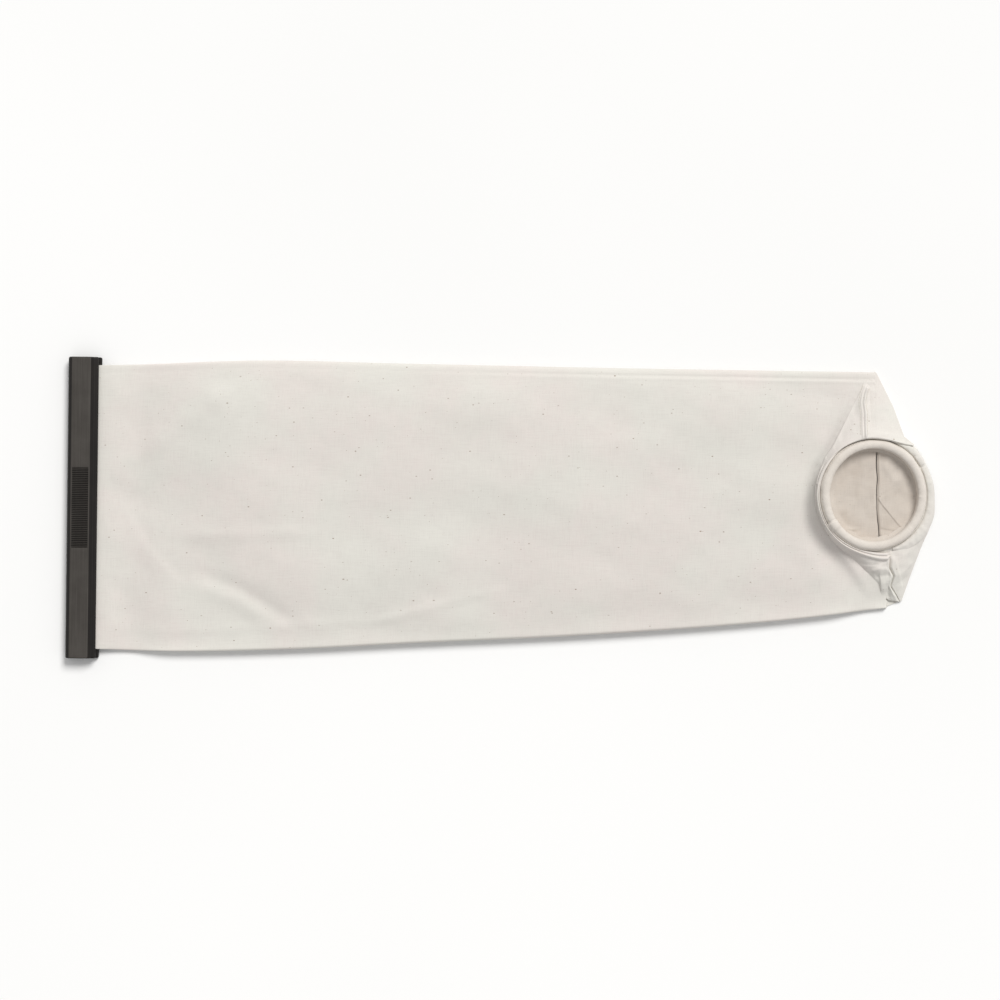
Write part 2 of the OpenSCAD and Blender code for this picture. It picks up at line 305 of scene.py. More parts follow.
# ---------------------------------------------------------------- materials
class Tree:
    """Short ways to add shader nodes."""

    def __init__(self, tree):
        self.t = tree

    def node(self, kind, **values):
        n = self.t.nodes.new(kind)
        for k, v in values.items():
            setattr(n, k, v)
        return n

    def put(self, node, socket, value):
        if isinstance(value, bpy.types.NodeSocket):
            self.t.links.new(value, node.inputs[socket])
        else:
            node.inputs[socket].default_value = value

    def math(self, op, a, b=0.0, c=0.0):
        n = self.node("ShaderNodeMath", operation=op)
        for i, v in enumerate((a, b, c)):
            self.put(n, i, v)
        return n.outputs[0]

    def times(self, a, b):
        return self.math("MULTIPLY", a, b)

    def plus(self, a, b, c):
        """a times b, plus c."""
        return self.math("MULTIPLY_ADD", a, b, c)

    def scaled(self, vector, scale, turn=0.0):
        n = self.node("ShaderNodeMapping")
        self.put(n, "Vector", vector)
        self.put(n, "Scale", scale)
        self.put(n, "Rotation", (0, 0, turn))
        return n.outputs[0]

    def weave_mm(self):
        """The cloth's own coordinates, in mm."""
        own = self.node("ShaderNodeAttribute", attribute_name="weave").outputs["Vector"]
        return self.scaled(own, (1000, 1000, 1000))

    def split(self, vector):
        n = self.node("ShaderNodeSeparateXYZ")
        self.put(n, 0, vector)
        return n.outputs

    def noise(self, vector, scale, detail=2.0, rough=0.5):
        n = self.node("ShaderNodeTexNoise")
        self.put(n, "Vector", vector)
        self.put(n, "Scale", scale)
        self.put(n, "Detail", detail)
        self.put(n, "Roughness", rough)
        return n.outputs["Fac"]

    def ramp(self, value, lo, hi, a=0.0, b=1.0):
        n = self.node("ShaderNodeMapRange", interpolation_type="SMOOTHSTEP")
        self.put(n, 0, value)
        for i, v in enumerate((lo, hi, a, b)):
            self.put(n, i + 1, v)
        return n.outputs[0]

    def blend(self, f, a, b, kind="MIX"):
        n = self.node("ShaderNodeMix", data_type="RGBA", blend_type=kind)
        self.put(n, 0, f)
        for i, v in ((6, a), (7, b)):
            self.put(n, i, (*v, 1) if isinstance(v, tuple) and len(v) == 3 else v)
        return n.outputs[2]

    def bump(self, height, strength, distance):
        n = self.node("ShaderNodeBump")
        self.put(n, "Strength", strength)
        self.put(n, "Distance", distance)
        self.put(n, "Height", height)
        return n.outputs[0]


def nodes_of(name):
    """A new material, its node tree and its shader."""
    m = bpy.data.materials.new(name)
    m.use_nodes = True
    return m, Tree(m.node_tree), m.node_tree.nodes["Principled BSDF"]


def tinted(colour, *shares):
    """A colour times one share, or a share for each channel."""
    return tuple(min(1, c * f) for c, f in zip(colour, shares * (3 // len(shares))))


def linear(r, g, b):
    """A colour given in sRGB steps of 0 to 255, as the linear values shaders take."""
    return tuple(((c / 255 + 0.055) / 1.055) ** 2.4 if c > 10 else c / 255 / 12.92 for c in (r, g, b))


def calico(name, colour, shade, pitch=0.5, flecks=1.0, bump=0.3):
    """Unbleached plain-weave cotton. Its threads follow the cloth's own lengths, in mm."""
    m, t, bsdf = nodes_of(name)
    mm = t.weave_mm()
    drift = t.node("ShaderNodeVectorMath", operation="MULTIPLY_ADD")
    wander = t.node("ShaderNodeTexNoise")
    t.put(wander, "Vector", mm)
    t.put(wander, "Scale", 0.12)
    t.put(drift, 0, wander.outputs["Color"])
    t.put(drift, 1, (2.2, 2.2, 0))
    t.put(drift, 2, mm)
    u, v, _ = t.split(drift.outputs[0])
    turn = 2 * math.pi / pitch
    warp = t.math("SINE", t.times(u, turn))
    weft = t.math("SINE", t.times(v, turn))
    over = t.times(warp, weft)
    height = t.plus(over, 0.5, 0.5)
    # Thick and thin threads, long and narrow both ways
    slub_x = t.noise(t.scaled(mm, (0.08, 2.3, 1)), 1.0, 3.0, 0.6)
    slub_y = t.noise(t.scaled(mm, (2.3, 0.08, 1)), 1.0, 3.0, 0.6)
    slubs = t.math("ADD", slub_x, slub_y)
    slub_tone = t.ramp(slubs, 0.75, 1.25)
    cloud = t.noise(mm, 0.012, 3.0, 0.55)
    mottle = t.noise(mm, 0.09, 4.0, 0.6)
    base = t.blend(t.ramp(cloud, 0.35, 0.65), colour, shade)
    base = t.blend(t.ramp(mottle, 0.3, 0.75, 0.0, 0.35), base, tinted(colour, 0.93))
    base = t.blend(t.times(slub_tone, 0.3), base, tinted(colour, 1.13))
    thin = t.ramp(slubs, 1.0, 0.72, 0.0, 0.22)
    base = t.blend(thin, base, tinted(shade, 0.84))
    # Painted shade: the hollows between the crossing threads are painted darker and browner
    weave_hollow_shade = t.plus(height, -0.09, 0.09)
    base = t.blend(weave_hollow_shade, base, tinted(shade, 0.62, 0.58, 0.5))
    # Bits of seed husk: small, brown, few, along the threads
    husks = (0.09, 0.085, 0.42, 0.2), (0.2, 0.1, 0.3, 1.5), (0.045, 0.05, 0.35, 0.9)
    for scale, size, share, turned in husks:
        v = t.node("ShaderNodeTexVoronoi", feature="F1")
        t.put(v, "Vector", t.scaled(mm, (1, 1.9, 1), turned))
        t.put(v, "Scale", scale)
        pick = t.node("ShaderNodeSeparateColor")
        t.put(pick, 0, v.outputs["Color"])
        spot = t.ramp(v.outputs["Distance"], size * 0.45, size, 1.0, 0.0)
        few = t.math("LESS_THAN", pick.outputs[0], share)
        depth = t.plus(pick.outputs[1], 0.55, 0.35)
        deep = t.times(t.times(spot, few), depth)
        base = t.blend(t.times(deep, flecks), base, linear(128, 104, 80))
    t.put(bsdf, "Base Color", base)
    fuzz = t.noise(mm, 5.0, 3.0, 0.7)
    rough = t.ramp(t.plus(fuzz, 0.5, t.times(height, 0.5)), 0.2, 0.8, 0.96, 0.84)
    t.put(bsdf, "Roughness", rough)
    t.put(bsdf, "Specular IOR Level", 0.22)
    t.put(bsdf, "Sheen Weight", 0.18)
    t.put(bsdf, "Sheen Roughness", 0.5)
    relief = t.plus(slubs, 0.7, t.plus(fuzz, 0.35, height))
    t.put(bsdf, "Normal", t.bump(relief, bump, 0.00012))
    return m


def thread(name, colour):
    m, t, bsdf = nodes_of(name)
    mm = t.weave_mm()
    u, v, _ = t.split(mm)
    # Painted shade in the grooves of the twisted thread, mixed with a random fuzzy tone
    ply = t.math("SINE", t.plus(u, 11.0, t.times(v, 6.0)))
    fuzz = t.noise(mm, 3.0, 3.0, 0.7)
    tone = t.plus(ply, 0.25, t.times(fuzz, 0.8))
    t.put(bsdf, "Base Color", t.blend(t.ramp(tone, 0.1, 0.8), tinted(colour, 0.72), colour))
    t.put(bsdf, "Roughness", t.ramp(fuzz, 0.3, 0.7, 0.72, 0.88))
    t.put(bsdf, "Sheen Weight", 0.2)
    t.put(bsdf, "Normal", t.bump(tone, 0.5, 0.00008))
    return m


def plastic(name, dark, light, rough, grain, worn, face=None):
    """Satin moulded plastic with drag marks along Y, a fine grain and wear.

    At the height face, in mm, its top is painted paler, a painted highlight of the lit top.
    """
    m, t, bsdf = nodes_of(name)
    own = t.node("ShaderNodeTexCoord").outputs["Object"]
    mm = t.scaled(own, (1000, 1000, 1000))
    drag = t.noise(t.scaled(mm, (1.6, 0.018, 1.6)), 1.0, 4.0, 0.65)
    blotch = t.noise(mm, 0.05, 4.0, 0.6)
    fine = t.noise(mm, grain, 2.0, 0.6)
    scuff = t.noise(t.scaled(mm, (0.9, 0.12, 0.9), 0.5), 1.0, 5.0, 0.75)
    tone = t.plus(drag, 0.6, t.times(blotch, 0.4))
    base = t.blend(t.ramp(tone, 0.36, 0.66), dark, light)
    if face:
        # Painted highlight: near the height face the top is painted paler, as a lit top looks
        lit_top_mask = t.ramp(t.split(mm)[2], face - 0.4, face - 0.1)
        pale = t.blend(t.ramp(tone, 0.3, 0.7), linear(58, 54, 50), linear(74, 70, 66))
        base = t.blend(lit_top_mask, base, pale)
    marks = t.ramp(scuff, 0.6, 0.72, 0.0, worn)
    base = t.blend(marks, base, tuple(min(1.0, c * 2.6 + 0.02) for c in light))
    t.put(bsdf, "Base Color", base)
    r = t.math("ADD", t.ramp(tone, 0.3, 0.7, rough, rough + 0.14), t.times(marks, 0.25))
    t.put(bsdf, "Roughness", r)
    relief = t.plus(drag, 0.8, t.times(fine, 0.35))
    t.put(bsdf, "Specular IOR Level", 0.3)
    t.put(bsdf, "Normal", t.bump(relief, 0.28, 0.00006))
    return m


def table_top():
    m, t, bsdf = nodes_of("pale_table")
    own = t.node("ShaderNodeTexCoord").outputs["Object"]
    soft = t.noise(own, 1.4, 2.0, 0.5)
    t.put(bsdf, "Base Color", t.blend(t.ramp(soft, 0.3, 0.7), (0.93, 0.93, 0.925), (0.95, 0.95, 0.947)))
    t.put(bsdf, "Roughness", 0.9)
    t.put(bsdf, "Specular IOR Level", 0.1)
    return m


CALICO = calico("calico", linear(220, 218, 211), linear(222, 214, 209))
BINDING = calico(
    "binding_cloth", linear(223, 216, 208), linear(216, 208, 199), pitch=0.42, flecks=0.6, bump=0.45,
)
# The cloth inside the mouth is the same calico in a darker, browner copy: painted shade of the recess
INSIDE_SHADE_CLOTH = calico("inside_cloth_painted_shade", linear(207, 199, 190), linear(199, 188, 177), flecks=0.9)
THREAD = thread("sewing_thread", linear(232, 226, 212))
CLIP_PLASTIC = plastic(
    "clip_plastic", linear(17, 14, 12), linear(27, 23, 20), 0.46, 6.0, 0.1, face=clip_hi[2],
)
STRIP_PLASTIC = plastic("strip_plastic", linear(222, 221, 214), linear(236, 235, 230), 0.45, 4.0, 0.12)

# ---------------------------------------------------------------- camera, floor and light
camera_data = bpy.data.cameras.new("camera")
camera = bpy.data.objects.new("camera", camera_data)
bpy.context.scene.collection.objects.link(camera)
camera.location = (-0.00095, 0.0100, 1.9)
camera.rotation_euler = (0, 0, math.radians(0.69))
camera_data.sensor_width = 36
camera_data.lens = 85.5
camera_data.clip_start = 0.05
bpy.context.scene.camera = camera

floor_mesh = bpy.data.meshes.new("table")
FLOOR_HALF, FLOOR_Z = 6.0, -0.0001
corner_signs = (-1, -1), (1, -1), (1, 1), (-1, 1)
floor_corners = [(u * FLOOR_HALF, v * FLOOR_HALF, FLOOR_Z) for u, v in corner_signs]
floor_mesh.from_pydata(floor_corners, [], [(0, 1, 2, 3)])
floor = bpy.data.objects.new("table", floor_mesh)
bpy.context.scene.collection.objects.link(floor)
floor.data.materials.append(table_top())


def lamp(name, toward, spread, power, colour=(1, 1, 1)):
    """A broad soft light, far enough away to be the same all over the object."""
    data = bpy.data.lights.new(name, "SUN")
    data.angle, data.energy, data.color = math.radians(spread), power, colour
    obj = bpy.data.objects.new(name, data)
    bpy.context.scene.collection.objects.link(obj)
    d = np.array(toward, float)
    obj.rotation_euler = (math.atan2(math.hypot(d[0], d[1]), d[2]), 0, math.atan2(d[0], -d[1]))
    return obj


lamp("key", (0.34, 0.6, 0.8), 26, 2.4, (1.0, 0.992, 0.975))
world = bpy.data.worlds.new("studio")
world.use_nodes = True
world.node_tree.nodes["Background"].inputs["Color"].default_value = (1, 1, 1, 1)
world.node_tree.nodes["Background"].inputs["Strength"].default_value = 0.47
bpy.context.scene.world = world
bpy.context.scene.view_settings.view_transform = "Standard"


# ---------------------------------------------------------------- heights of the flat bag
def y_hi(x):
    return through(UPPER_EDGE, x)


def y_lo(x):
    return through(LOWER_EDGE, x)


def back_top(x):
    """Top of the lower cloth, which comes down from its hem to the table."""
    return mix(MEET_Z, CLOTH, smooth((x - SHEET_X0) / 38))


def bulge(t):
    """Height of the crown across the bag, t going from -1 to 1."""
    return (1 - np.clip(np.abs(t), 0, 1) ** 3.4) ** 0.5


def fold_x(y):
    return np.interp(y, [FOLD_LOW[1], FOLD_TOP[1]], [FOLD_LOW[0], FOLD_TOP[0]])


def body_top(x, y):
    """Top of the upper cloth, as it was sewn, without its folds."""
    mid, half = (y_hi(x) + y_lo(x)) / 2, (y_hi(x) - y_lo(x)) / 2
    return back_top(x) + CLOTH + through(CROWN, x) * bulge((y - mid) / half / 0.999)


BODY_FOLDS = [
    ([(-212, 100), (-222, 92), (-252, 71), (-290, 42)], 15, 1.8),
    ([(-201, 111), (-264, 62), (-318, 20)], 7, 0.5),
    ([(-280, -36), (-205, -34)], 20, -1.5, 0.4),
    ([(-268, -22), (-207, -19.5), (-128, -17)], 5, 0.7),
    ([(-252, -47), (-207, -64), (-168, -87), (-150, -98)], 6, -1.1),
    ([(-255, -56), (-210, -72), (-180, -90)], 7, 0.9),
    ([(-304, -52), (-301, -75), (-302, -100)], 11, -1.5, 0.4),
    ([(-318, 22), (-300, 10), (-285, 8)], 8, -0.5, 0.4),
    ([(-322, -106.5), (-308, -108.5), (-288, -111)], 1.3, -1.1, 0.1),
    ([(-120, -92), (-98, -88), (-17, -65), (10, -58)], 3.5, 0.5),
    ([(-321, -100), (-250, -98), (-92, -87), (-20, -68)], 5, 0.5),
    ([(70, 103), (86, 80), (92, 55)], 22, -1),
    ([(170, 40), (215, 30), (250, 5)], 22, 0.8),
    ([(245, 10), (262, -14), (285, -52), (292, -62)], 15, -0.6),
    ([(228, -2), (246, -28), (262, -60)], 12, 1),
    ([(262, 108), (262, 80), (252, 58)], 10, -0.9),
]
BODY_CREASE = [(-303, 8), (-297, -5.5), (-279, -33), (-259, -54), (-246, -60)]


def body_folds(x, y):
    """What the folds and soft dents of the lying cloth add to its height."""
    soft = waves(x * 0.7, y, 95, 3) * 0.8 + waves(x, y, 40, 5) * 0.16
    return soft + folds(x, y, BODY_FOLDS) + crease(x, y, BODY_CREASE, 0.9, 12, 2.6, 0.3)


def body_edge(x, y):
    """Distance from the nearer long edge."""
    return np.minimum(y_hi(x) - y, y - y_lo(x))


def edge_lift(x, y):
    """How far the sewn edges of the bag stand off the table, the lower one more."""
    both = 1.7 * np.exp(-np.clip(body_edge(x, y), 0, None) / 4)
    lower = 5.0 * np.exp(-np.clip(y - y_lo(x), 0, None) / 9) * (1 - 0.8 * smooth((x - 262) / 34))
    return (both + lower) * smooth((x - SHEET_X0 - 6) / 60)


def swell(x, y):
    """The upper cloth is drawn up to the fold and the collar on the left of the mouth."""
    line = [
        (297, 115), (287.6, 105), (275, 80), (262, 55), (254, 42), (249.5, 28), (248.5, 15), (249.5, 2),
        (253, -8), (259, -17), (268, -26), (279, -40), (290, -56), (297, -66),
    ]
    d, side, share = beside(x, y, line)
    steps = np.cumsum([0] + [math.dist(p, q) for p, q in zip(line, line[1:])])
    heights = [0.2, 1.8, 5.4, 9.2, 10.3, 10.5, 10.4, 9.8, 8.8, 7.4, 5.8, 3.8, 1.8, 0]
    height = np.interp(share, steps / steps[-1], heights)
    return height * np.where(side < 0, np.exp(-((d / 27) ** 1.2)), np.exp(-d / 2.5))


def body_surface(x, y):
    """Top of the upper cloth as it lies."""
    gap = body_edge(x, y)
    inside = smooth(gap / 22) * smooth((x - SHEET_X0) / 16) * smooth((fold_x(y) - x) / 14)
    z = body_top(x, y) + body_folds(x, y) * inside
    # The seam allowance inside shows as a soft ridge and a furrow beside the upper edge
    upper = y_hi(x) - y
    show = smooth((x + 120) / 300)
    z -= 0.75 * hump(upper - 5.4, 0.8) * show + 0.12 * hump(upper - 5.4, 1.6) * (1 - show)
    z += 0.45 * hump(upper - 7.6, 1.2) * show
    lift = edge_lift(x, y)
    corner = hump(np.hypot(x - FOLD_LOW[0], y - FOLD_LOW[1]), 10.5)
    z = mix(z, back_top(x) + CLOTH + 0.5, corner) + swell(x, y)
    low = smooth((43 - np.hypot(x - MOUTH[0], y - MOUTH[1])) / 5)
    z = mix(z, back_top(x) + CLOTH + 0.3, low)
    return np.maximum(z + lift, back_top(x) + lift + CLOTH + 0.05)


def flap_top(x, y):
    return body_top(x, y) + 1.8


def ring_z(x):
    """Height of the middle of the binding, whose plane leans to the right."""
    return MOUTH[2] - (x - MOUTH[0]) * MOUTH_N[0] / MOUTH_N[2]


# ---------------------------------------------------------------- the two body panels
def edge_steps(fine, count):
    """Places from -1 to 1, close together near the ends."""
    u = np.linspace(-1, 1, count)
    return np.sign(u) * (1 - (1 - np.abs(u)) ** fine)


along = np.concatenate([
    np.linspace(0, 0.03, 8)[:-1], np.linspace(0.03, 0.985, 176)[:-1], np.linspace(0.985, 1, 7),
])
across = edge_steps(1.45, 97)


def body_plan(s, t):
    """Plan of a body cloth: s from the hem to the fold, t from the lower edge to the upper."""
    end = mix(FOLD_LOW[0], FOLD_TOP[0], (t + 1) / 2)
    x = mix(SHEET_X0, end, s)
    return x, (y_hi(x) + y_lo(x)) / 2 + t * (y_hi(x) - y_lo(x)) / 2


T, S = np.meshgrid(across, along)
X, Y = body_plan(S, T)
front = np.stack([X, Y, body_surface(X, Y)], -1)
turned = []
for dx, share in ((0.45, 0.18), (0.7, 0.45), (0.6, 0.75), (0.1, 1.0)):
    row = front[-1].copy()
    row[:, 0] += dx
    row[:, 2] = mix(front[-1][:, 2], back_top(row[:, 0]) + CLOTH + 0.05, share)
    turned.append(row)
front = np.concatenate([front, np.array(turned)], 0)
# The long edges roll over and under, round the edges of the lower cloth
loose = smooth((front[:, 0, 0] - SHEET_X0) / 20)
columns = [], []
for dy, dz in ((0.4, -0.25), (0.62, -0.8), (0.5, -1.5), (-0.1, -2.05), (-1.0, -2.3)):
    for side, column, out in ((0, front[:, 0], -1), (1, front[:, -1], 1)):
        q = column.copy()
        q[:, 1] += out * dy
        q[:, 2] = np.maximum(q[:, 2] + dz * (0.35 + 0.65 * loose), 0.85)
        columns[side].append(q)
front = np.concatenate([np.stack(columns[0][::-1], 1), front, np.stack(columns[1], 1)], 1)
front_cloth = settle(grid("front_cloth", front, CALICO))

# Lower cloth: it follows the table, and its edges turn up to the seam
down = edge_steps(1.3, 61)
run = np.linspace(0, 1, 150)
T2, S2 = np.meshgrid(down, run)
X2, Y2 = body_plan(S2, T2 * 0.993)
level = back_top(X2) + edge_lift(X2, Y2)
tongue_f = np.linspace(0, 1, 22)[1:]
end_y = Y2[-1]
end_x = np.interp(end_y, [p[0] for p in RIGHT_SIDE], [p[1] for p in RIGHT_SIDE]) - 0.5
tongue = np.stack([
    mix(X2[-1][None, :], end_x[None, :], tongue_f[:, None]),
    np.broadcast_to(end_y, (len(tongue_f), len(end_y))),
    CLOTH + (level[-1] - CLOTH)[None, :] * (1 - smooth(tongue_f * 3))[:, None],
], -1)
back = np.concatenate([np.stack([X2, Y2, level], -1), tongue], 0)
back_cloth = settle(grid("back_cloth", back, CALICO))


# Hems: a casing of cloth round each stiffening strip, sewn along its inner edge
def hem(name, upper):
    """The casing of one hem, wound from its section."""
    section = [
        (-323, 6.35), (-325.4, 6.5), (-327, 6.75), (-328.4, 7.2), (-329.6, 8), (-331.2, 8.38),
        (-335.5, 8.42), (-339.7, 8.38), (-341.2, 7.9), (-341.55, 6.95), (-341.2, 6), (-339.7, 5.56),
        (-335, 5.54), (-330, 5.54), (-327.4, 5.56), (-325.5, 5.6),
    ]
    f = np.linspace(0, 1, 44)
    xz = path([(x - clip_lo[0] - 345.7, z) for x, z in section], f)
    y = np.linspace(HEM_Y[0], HEM_Y[1], 140)
    P = np.zeros((len(y), len(f), 3))
    P[..., 0] = xz[None, :, 0]
    P[..., 1] = y[:, None]
    wob = waves(y, 0 * y, 16, 21 if upper else 22)[:, None] * 0.07
    P[..., 2] = xz[None, :, 1] + wob * (xz[None, :, 1] > 7)
    if not upper:
        P[..., 2] = 2 * MEET_Z - P[..., 2]
    centre = np.array([-335, 0, MEET_Z + (1.45 if upper else -1.45)])
    obj = grid(name, P, CALICO, weave="own", flip=False)
    n = obj.data.polygons[70].normal
    c = np.array(obj.data.polygons[70].center) / MM - centre
    if n[0] * c[0] + n[2] * c[2] < 0:
        obj.data.flip_normals()
    return settle(obj, levels=0)


front_hem = hem("front_hem", True)
back_hem = hem("back_hem", False)


def hem_stitches(name, upper):
    y = np.linspace(HEM_Y[0] + 1, HEM_Y[1] - 1, 120)
    z = 6.83 if upper else 2 * MEET_Z - 6.83
    line = np.stack([np.full_like(y, -327.1), y, np.full_like(y, z)], -1)
    return stitches(name, line, THREAD, up=(0, 0, 1 if upper else -1))


front_hem_stitches = hem_stitches("front_hem_stitches", True)
back_hem_stitches = hem_stitches("back_hem_stitches", False)


# ---------------------------------------------------------------- the mouth end
def polar(a, r):
    """Plan point at angle a, in degrees, and radius r round the mouth."""
    a = np.radians(a)
    return MOUTH[0] + r * np.cos(a), MOUTH[1] + r * np.sin(a)


def table_of(pairs, a):
    """Reads a table of (angle, value), in any order, as a smooth curve."""
    return through(sorted(pairs), a)


def ray_to(points, a):
    """Radius at which rays at the angles a meet a polyline of plan points."""
    p = np.array(points, float)
    fine = straight(p, np.linspace(0, 1, 900))
    ang = np.degrees(np.arctan2(fine[:, 1] - MOUTH[1], fine[:, 0] - MOUTH[0])) % 360
    rad = np.hypot(fine[:, 0] - MOUTH[0], fine[:, 1] - MOUTH[1])
    order = np.argsort(ang)
    return np.interp(np.asarray(a) % 360, ang[order], rad[order])


# The binding round the cord, gathered a little on its inner side, with its lapped end
turns, sides = 420, 40
around, about = np.meshgrid(
    np.linspace(0, 360, turns, endpoint=False), np.linspace(0, 2 * math.pi, sides, endpoint=False),
    indexing="ij",
)
arc = np.radians(around) * RING_R
inner = 0.5 - 0.5 * np.cos(about)
pucker = waves(arc, about * 1.5, 3.2, 31) * 0.09 * inner + waves(arc, about * 3, 17, 32) * 0.17
LAP_AT = 217
from_lap = (around - LAP_AT + 180) % 360 - 180
lap = 0.85 * smooth((from_lap + 5.2) / 1.2) * smooth((6.5 - from_lap) / 5) - 0.6 * hump(from_lap + 6.4, 1.2)
rho = BEAD_R + pucker + lap * (0.55 + 0.45 * np.sin(about + 0.6)) - 0.22 * hump(about - 0.55, 0.22)
bead_r = RING_R + rho * np.cos(about)
# Nothing stands into the bore
past = BORE_R + 0.3 - bead_r
bead_r = np.where(past > 0, BORE_R + 0.3 - 0.35 * (1 - np.exp(-past)), bead_r)


def on_ring(a, r, h):
    """Points at angle a and radius r round the mouth's axis, h above the plane of the binding."""
    a = np.radians(a)[..., None]
    e1, e2 = np.array([MOUTH_N[2], 0, -MOUTH_N[0]]), np.array([0, 1, 0])
    return MOUTH + np.expand_dims(r, -1) * (np.cos(a) * e1 + np.sin(a) * e2) + np.expand_dims(h, -1) * MOUTH_N


bead = on_ring(around, bead_r, rho * np.sin(about))
mouth_bead = grid("mouth_bead", bead, BINDING, loop=True, ring=True, weave="bias", flip=False)
first_face = mouth_bead.data.polygons[0]
out = np.array(first_face.center) / MM - on_ring(around[0, :1], RING_R, 0)[0]
if np.dot(np.array(first_face.normal), out) < 0:
    mouth_bead.data.flip_normals()

sewn_at = np.linspace(222, 222 + 352, 500)
bead_stitches = stitches(
    "bead_stitches", on_ring(sewn_at, RING_R + 3.42, 2.05), THREAD,
    up=on_ring(sewn_at, 1.0, 0.62) - MOUTH, length=1.9, gap=0.6, radius=0.13, rise=0.12,
)

# Edges of the corner pieces
CREASE_L = [(249.3, 24.5), (252.6, 37.2), (257.2, 48.0), (262.4, 55.6), (287.6, 105.0), (296.4, 115.2)]
TOP_RIGHT = [(298.2, 115.4), (312.0, 87.2), (320.2, 64.3), (328.6, 57.4)]
SEAM_UP = [(290.6, 105.5), (287.6, 99), (286.0, 91), (286.9, 83), (286.6, 74), (286.4, 62.5)]
LEFT_FOOT = [
    (259.5, 44.5), (254.5, 37), (250.9, 27), (250.3, 17), (251, 5), (253.8, -4.5), (258.2, -12.5),
    (264.5, -20.5), (273, -28), (281.3, -34.5), (293, -45), (302.2, -54), (304.2, -62.5), (311, -66.5),
    (320.2, -67.4),
]


def floor_height(x, y):
    """Top of the floor inside the mouth: level on the left, falling to the table on the right."""
    left = flap_top(x, y)
    right = mix(flap_top(np.minimum(x, 300), y) - 0.4, 1.7, smooth((x - 299) / 36))
    return np.where(x < fold_x(y), left, right)


FLOOR_FOLDS = [
    ([(262, -7), (272, -9.5), (287, -10)], 1.1, 0.5),
    ([(264, -12), (274, -12.5), (284, -11.5)], 0.9, -0.4),
    ([(268, -16), (280, -15), (290, -13)], 1.2, 0.35),
    ([(262, 30), (275, 8), (290, -5)], 7, 0.6),
    ([(303, 45), (313, 30), (321, 25)], 3, 0.7),
    ([(326, 38), (320, 20), (319, 8)], 5, -0.5),
]
LONG_CREASE = [(324, -13), (317.3, -6.3), (309, 3), (302, 11.5), (299.5, 15.5)]
LOW_CREASE = [(301.5, -8.6), (310, -10.2), (318.9, -11.2), (324, -12.5)]


def floor_folds(x, y):
    """What the folds inside the mouth add to the floor's height."""
    z = waves(x, y, 20, 41) * 0.38 + waves(x, y, 9, 42) * 0.1 + folds(x, y, FLOOR_FOLDS)
    z += crease(x, y, LONG_CREASE, 0.9, 5, 0.4, 0.05)
    return z + crease(x, y, LOW_CREASE, -0.7, 6, 0.5, 0.08)


# The gap between the halves of the floor, as (y, x)
SLIT = [
    (-30, 302.6), (-19, 301.5), (-10, 301), (0, 299.8), (12, 299.1), (22, 298.9), (30, 299.4),
    (42, 298.5), (55.8, 298.7), (62, 298.2),
]


def half_floor(name, left):
    """One half of the floor, on rays from the middle of the slit out to its edge."""
    cx, cy = 299.2, 17.5
    if left:
        edge = [
            (cx, 92), (290.2, 92), (268, 56), (262.0, 46), (257, 38), (253.6, 27), (252.8, 17), (253.4, 5),
            (256.5, -4), (262, -12), (269, -19), (278, -25.5), (286, -29.5), (294, -33), (cx, -35),
        ]
    else:
        edge = [
            (cx, -35), (311, -33), (322, -25), (332, -14), (338.5, -2), (340.5, 15), (337, 32), (331, 44),
            (322, 55), (312, 64), (cx, 92),
        ]
    rim = straight(edge, np.linspace(0, 1, 220))
    f = np.concatenate([np.linspace(0, 0.06, 4)[:-1], np.linspace(0.06, 1, 58)])
    x = cx + (rim[:, None, 0] - cx) * f[None, :]
    y = cy + (rim[:, None, 1] - cy) * f[None, :]
    # The straight side is bent to follow the slit
    near = np.abs(x - cx)
    half_gap = (0.2 + 0.12 * smooth(y / 26)) * (-1 if left else 1)
    x = x + (through(SLIT, y) - cx + half_gap) * np.exp(-near / 12)
    z = floor_height(x, y)
    r = np.hypot(x - MOUTH[0], y - MOUTH[1])
    z += floor_folds(x, y) * smooth((39 - r) / 5)
    # The cloth turns down at the slit, and up round the foot of the neck
    z -= 1.3 * hump(near, 1.0) * smooth((60 - y) / 8)
    room = ring_z(x) - 4.6 - floor_height(x, y)
    z += np.clip(room, 0, 9) * 0.55 * smooth((r - 29.5) / 9) * (r < 45)
    z = np.where(r >= 45, floor_height(x, y), z)
    if not left:
        ceiling = 1.75 + 7 * smooth((316 - x) / 14)
        z = np.maximum(np.where(r > 42, np.minimum(z, ceiling), z), 1.65)
    return settle(grid(name, np.stack([x, y, z], -1), INSIDE_SHADE_CLOTH))


floor_left = half_floor("mouth_floor_left", True)
floor_right = half_floor("mouth_floor_right", False)

# Inner side of the neck, from inside the binding down to the floor
around, down = np.meshgrid(np.linspace(0, 360, 240, endpoint=False), np.linspace(0, 1, 14), indexing="ij")
turn = np.radians(around)
top_r = 39.6
foot_r = 33.6 + 0.8 * np.cos(np.radians(around - 30)) + 0.35 * waves(turn * 34, 0 * turn, 14, 51)
x, y = polar(around, mix(top_r, foot_r, down**0.8))
z_top = ring_z(polar(around, top_r)[0]) - 1.2
z_foot = np.minimum(floor_height(*polar(around, foot_r)) + 0.6, z_top - 0.6)
wrinkle = waves(turn * 36, down * 6, 9, 52) * 0.25 * np.sin(math.pi * down)
wall = np.stack([
    x + wrinkle * np.cos(turn), y + wrinkle * np.sin(turn), mix(z_top, z_foot, 1 - (1 - down) ** 1.5),
], -1)
neck_lining = settle(grid("neck_lining", wall, INSIDE_SHADE_CLOTH, loop=True, weave="own"), thickness=0.5)

